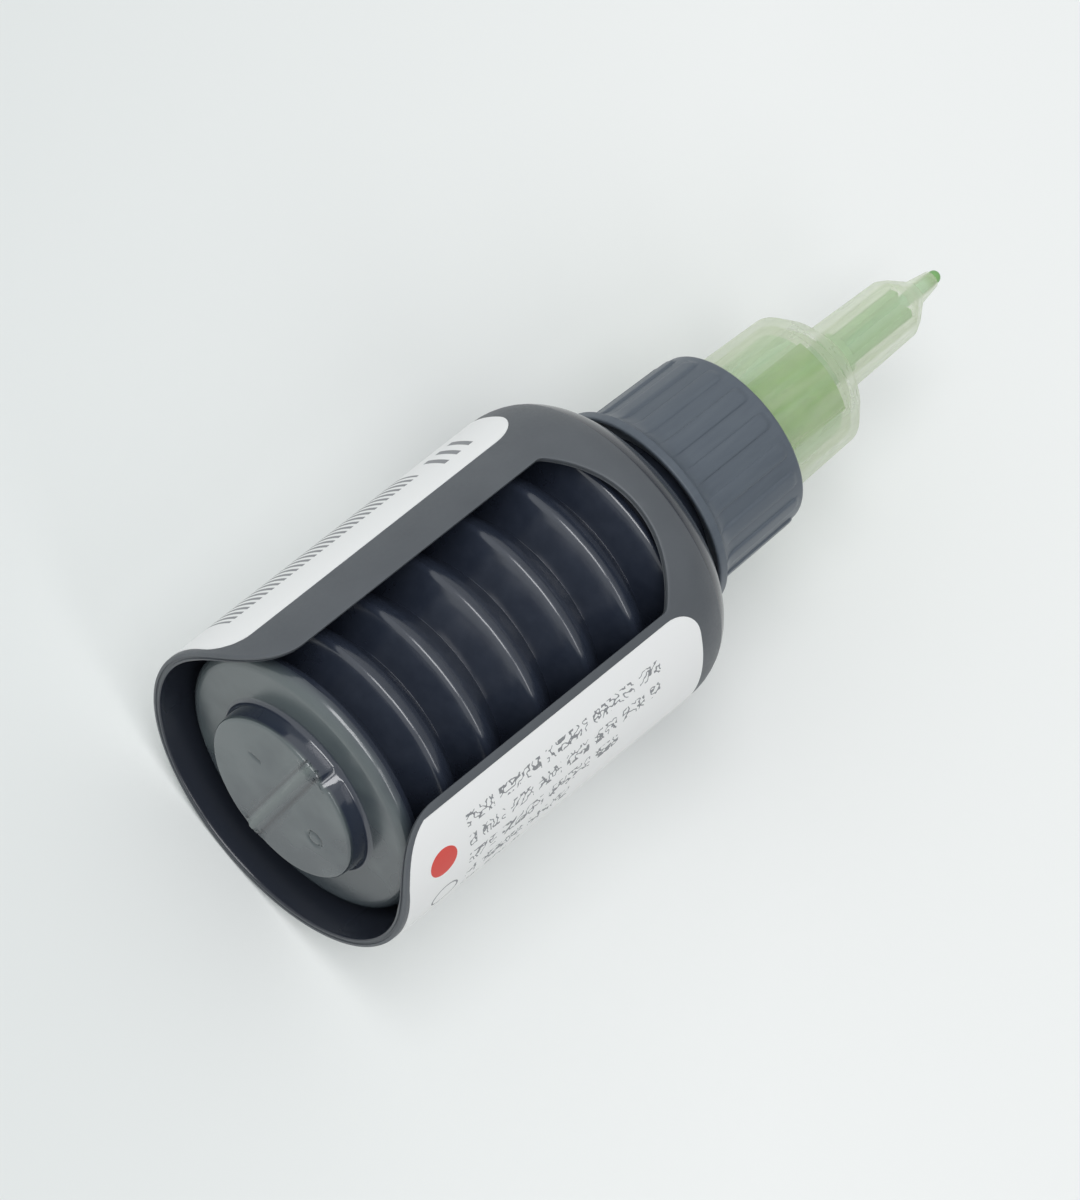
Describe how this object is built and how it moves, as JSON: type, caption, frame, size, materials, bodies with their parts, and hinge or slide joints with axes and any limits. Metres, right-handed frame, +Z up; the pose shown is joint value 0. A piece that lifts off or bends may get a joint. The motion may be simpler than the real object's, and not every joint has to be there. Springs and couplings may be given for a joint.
{
  "type": "gasket sealant tube",
  "caption": "Bellows bottle of gasket sealant in a rigid grip sleeve, with a thumb window, a ribbed collar and a translucent twist nozzle.",
  "frame": {"origin": "on the resting surface, under the middle of the overall length and of the width, with the bottle lying on its side and the thumb window up", "axes": "+X along the bottle's axis towards the nozzle, +Z up through the thumb window, +Y to the left seen from the rear"},
  "size_m": [0.132, 0.048, 0.0479],
  "materials": {
    "sleeve_plastic": "satin moulded dark grey",
    "label_paper": "matt white film",
    "bellows_plastic": "glossy blow-moulded dark grey",
    "end_disc_plastic": "satin blow-moulded dark grey",
    "collar_plastic": "satin moulded blue grey",
    "nozzle_plastic": "translucent natural",
    "insert_plastic": "satin green"
  },
  "bodies": {
    "bottle": {"sleeve": "sleeve_plastic", "label": "label_paper", "bellows": "bellows_plastic", "insert": "insert_plastic"},
    "end_disc": {"bellows_end": "end_disc_plastic"},
    "collar": {"collar": "collar_plastic"},
    "nozzle": {"nozzle": "nozzle_plastic"}
  },
  "joints": [
    {"name": "bellows_squeeze", "type": "slide", "parent": "bottle", "child": "end_disc", "axis": [1, 0, 0], "range_m": [0, 0.034], "stiffness_N_per_m": 150, "deforming": ["bellows"]},
    {"name": "collar_turn", "type": "hinge", "parent": "bottle", "child": "collar", "pos_m": [0.012, 0, 0.0239], "axis": [1, 0, 0], "range_deg": [0, 120]},
    {"name": "nozzle_lift", "type": "slide", "parent": "collar", "child": "nozzle", "axis": [1, 0, 0], "range_m": [0, 0.002]}
  ],
  "couplings": [
    {"joint": "nozzle_lift", "follows": "collar_turn", "m_per_rad": 0.00095493}
  ]
}
